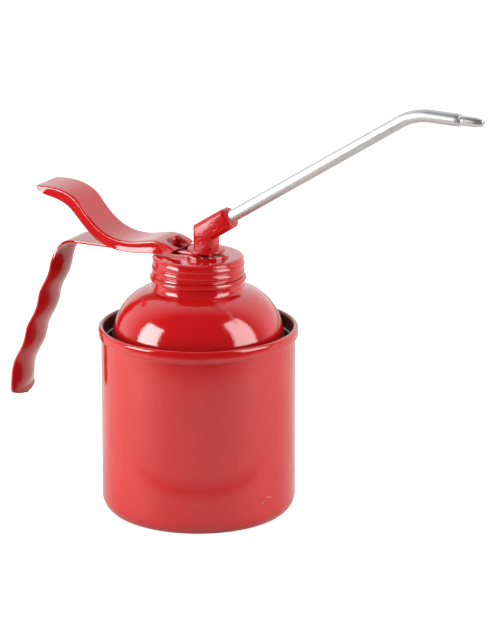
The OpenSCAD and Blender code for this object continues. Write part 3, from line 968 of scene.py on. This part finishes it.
INNER_MATERIALS = {
    MAT_STEEL: ["plunger_tube", "thrust_washer", "inlet_ball", "outlet_ball", "ball_stop", "suction_tube"],
    MAT_SPRING: ["return_spring", "outlet_spring"],
    MAT_BRASS: ["gland_bush", "pump_cylinder", "piston", "foot_valve_body", "strainer"],
    MAT_RUBBER: ["cap_gasket", "rod_seal", "cylinder_gasket"],
    MAT_LEATHER: ["piston_seal"],
}


def dress_inner_nodes():
    for material, names in INNER_MATERIALS.items():
        for name in names:
            paint(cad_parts[name], material)


# ---------------------------------------------------------------------------
# Studio
# ---------------------------------------------------------------------------

CAMERA_AT = Vector((0.7981, -1.5010, 0.57755))
CAMERA_LOOK = Vector((-0.44044, 0.85422, -0.27626))
FOCAL_MM = 232.35
TO_CAMERA = Vector((CAMERA_AT.x, CAMERA_AT.y, 0)).normalized()
PANEL_DISTANCE = 0.66
PANEL_LOW = -0.03


def make_camera():
    data = bpy.data.cameras.new("camera")
    data.lens = FOCAL_MM
    data.sensor_width = 36.0
    data.clip_start = 0.05
    data.clip_end = 50.0
    cam = bpy.data.objects.new("camera", data)
    cam.location = CAMERA_AT
    cam.rotation_mode = "QUATERNION"
    cam.rotation_quaternion = CAMERA_LOOK.to_track_quat("-Z", "Y")
    bpy.context.scene.collection.objects.link(cam)
    bpy.context.scene.camera = cam
    return cam


def softbox(name, azimuth, distance, heights, width, radiance):
    """An upright panel of light; azimuth 0 is the camera's side, positive to its right."""
    facing = math.atan2(CAMERA_AT.y, CAMERA_AT.x) + math.radians(azimuth)
    out = Vector((math.cos(facing), math.sin(facing), 0))
    tall = heights[1] - heights[0]
    light = bpy.data.lights.new(name, "AREA")
    light.shape = "RECTANGLE"
    light.size, light.size_y = width, tall
    light.energy = radiance * math.pi * width * tall
    obj = bpy.data.objects.new(name, light)
    obj.location = out * distance + Vector((0, 0, (heights[0] + heights[1]) / 2))
    obj.rotation_mode = "QUATERNION"
    obj.rotation_quaternion = (-out).to_track_quat("-Z", "Y")
    bpy.context.scene.collection.objects.link(obj)
    return obj


def overhead():
    """A wide soft light above and behind the object, left out of its reflections."""
    light = bpy.data.lights.new("overhead", "AREA")
    light.shape = "RECTANGLE"
    light.size, light.size_y = 1.2, 1.0
    light.energy = 2.5
    obj = bpy.data.objects.new("overhead", light)
    obj.location = (-0.15, 0.28, 1.3)
    obj.visible_glossy = False
    obj.rotation_euler = (math.radians(-12), math.radians(-7), 0)
    bpy.context.scene.collection.objects.link(obj)
    return obj


def make_floor():
    """Pale floor with a round front edge, wide behind the object, and white to the camera."""
    front_r, side_r, side_angle, back_r = 0.283, 0.023, 57, 2.2
    mesh = bpy.data.meshes.new("floor")
    bm = bmesh.new()
    facing = math.atan2(CAMERA_AT.y, CAMERA_AT.x)
    middle = bm.verts.new((0, 0, 0))
    edge = []
    for degrees in range(0, 360, 3):
        off_axis = min(degrees, 360 - degrees)
        r = front_r + side_r * (min(off_axis, 90) / side_angle) ** 2 + back_r * smoothstep(85, 115, off_axis)
        a = facing + math.radians(degrees)
        edge.append(bm.verts.new((r * math.cos(a), r * math.sin(a), 0)))
    for a, b in zip(edge, edge[1:] + edge[:1]):
        bm.faces.new((middle, a, b))
    bm.to_mesh(mesh)
    bm.free()
    floor = bpy.data.objects.new("floor", mesh)
    floor.location.z = -0.0002
    bpy.context.scene.collection.objects.link(floor)
    paint(floor, floor_paper())
    return floor


def floor_paper():
    """Pale paper with one dark curved line in front of the can, which its wall reflects."""
    line_at, line_bow, line_half, line_fade = 0.106, 4.0, 0.003, 0.010
    end_from, end_to, darkness, glow = 0.105, 0.135, 0.88, 0.95
    n = Nodes("floor_paper")
    paper = n.mix(n.noise(40.0, 3.0), (0.64, 0.62, 0.58, 1), (0.68, 0.66, 0.62, 1))
    ahead = n.along(TO_CAMERA)
    aside = n.along(Vector((-TO_CAMERA.y, TO_CAMERA.x, 0)))
    curve = n.math("ADD", ahead, n.math("MULTIPLY", n.math("MULTIPLY", aside, aside), line_bow))
    off_line = n.math("ABSOLUTE", n.math("SUBTRACT", curve, line_at), 0.0)
    band = n.remap(off_line, line_half, line_fade, 1.0, 0.0)
    ends = n.remap(n.math("ABSOLUTE", aside, 0.0), end_from, end_to, 1.0, 0.0)
    share = n.math("MULTIPLY", n.math("MULTIPLY", band, ends), darkness)
    n.link(n.mix(share, paper, (0.10, 0.09, 0.08, 1)), n.shader.inputs["Base Color"])
    n.set(Roughness=0.7, Emission_Color=(1, 1, 1, 1))
    seen = n.add("ShaderNodeLightPath").outputs["Is Camera Ray"]
    n.link(n.math("MULTIPLY", seen, glow), n.shader.inputs["Emission Strength"])
    return n.material


def make_world():
    """White to the camera; for light and reflections, bright behind the object and dark in front."""
    seen_strength, lit_strength = 1.05, 0.9
    dark_until, bright_from, dark_tone, bright_tone = 0.45, 0.72, 0.04, 0.95
    world = bpy.data.worlds.new("studio")
    bpy.context.scene.world = world
    world.use_nodes = True
    tree = world.node_tree
    tree.nodes.clear()
    out = tree.nodes.new("ShaderNodeOutputWorld")
    seen = tree.nodes.new("ShaderNodeBackground")
    seen.inputs["Color"].default_value = (1, 1, 1, 1)
    seen.inputs["Strength"].default_value = seen_strength
    lit = tree.nodes.new("ShaderNodeBackground")
    lit.inputs["Strength"].default_value = lit_strength
    coords = tree.nodes.new("ShaderNodeTexCoord")
    dot = tree.nodes.new("ShaderNodeVectorMath")
    dot.operation = "DOT_PRODUCT"
    dot.inputs[1].default_value = -TO_CAMERA
    tree.links.new(coords.outputs["Generated"], dot.inputs[0])
    ramp = tree.nodes.new("ShaderNodeValToRGB")
    stops = ((dark_until, dark_tone), (bright_from, bright_tone))
    for element, (position, tone) in zip(ramp.color_ramp.elements, stops):
        element.position = position
        element.color = (tone, tone, tone, 1)
    shift = tree.nodes.new("ShaderNodeMath")
    shift.operation = "MULTIPLY_ADD"
    shift.inputs[1].default_value = 0.5
    shift.inputs[2].default_value = 0.5
    tree.links.new(dot.outputs["Value"], shift.inputs[0])
    tree.links.new(shift.outputs[0], ramp.inputs["Fac"])
    tree.links.new(ramp.outputs["Color"], lit.inputs["Color"])
    path = tree.nodes.new("ShaderNodeLightPath")
    mix = tree.nodes.new("ShaderNodeMixShader")
    tree.links.new(path.outputs["Is Camera Ray"], mix.inputs[0])
    tree.links.new(lit.outputs[0], mix.inputs[1])
    tree.links.new(seen.outputs[0], mix.inputs[2])
    tree.links.new(mix.outputs[0], out.inputs["Surface"])


make_camera()
make_world()
make_floor()
softbox("key_left", -71.5, PANEL_DISTANCE, (PANEL_LOW, 0.58), width=0.37, radiance=9.5)
softbox("fill_right", 66, PANEL_DISTANCE, (PANEL_LOW, 0.95), width=0.40, radiance=5.6)
overhead()

make_can_body()
make_seam()
make_dome()
make_neck()
make_cap()
make_grip()
make_lever()
make_stud()
make_elbow()
make_spout()
make_nozzle()
dress_inner_nodes()

bpy.context.scene.view_settings.view_transform = "Standard"
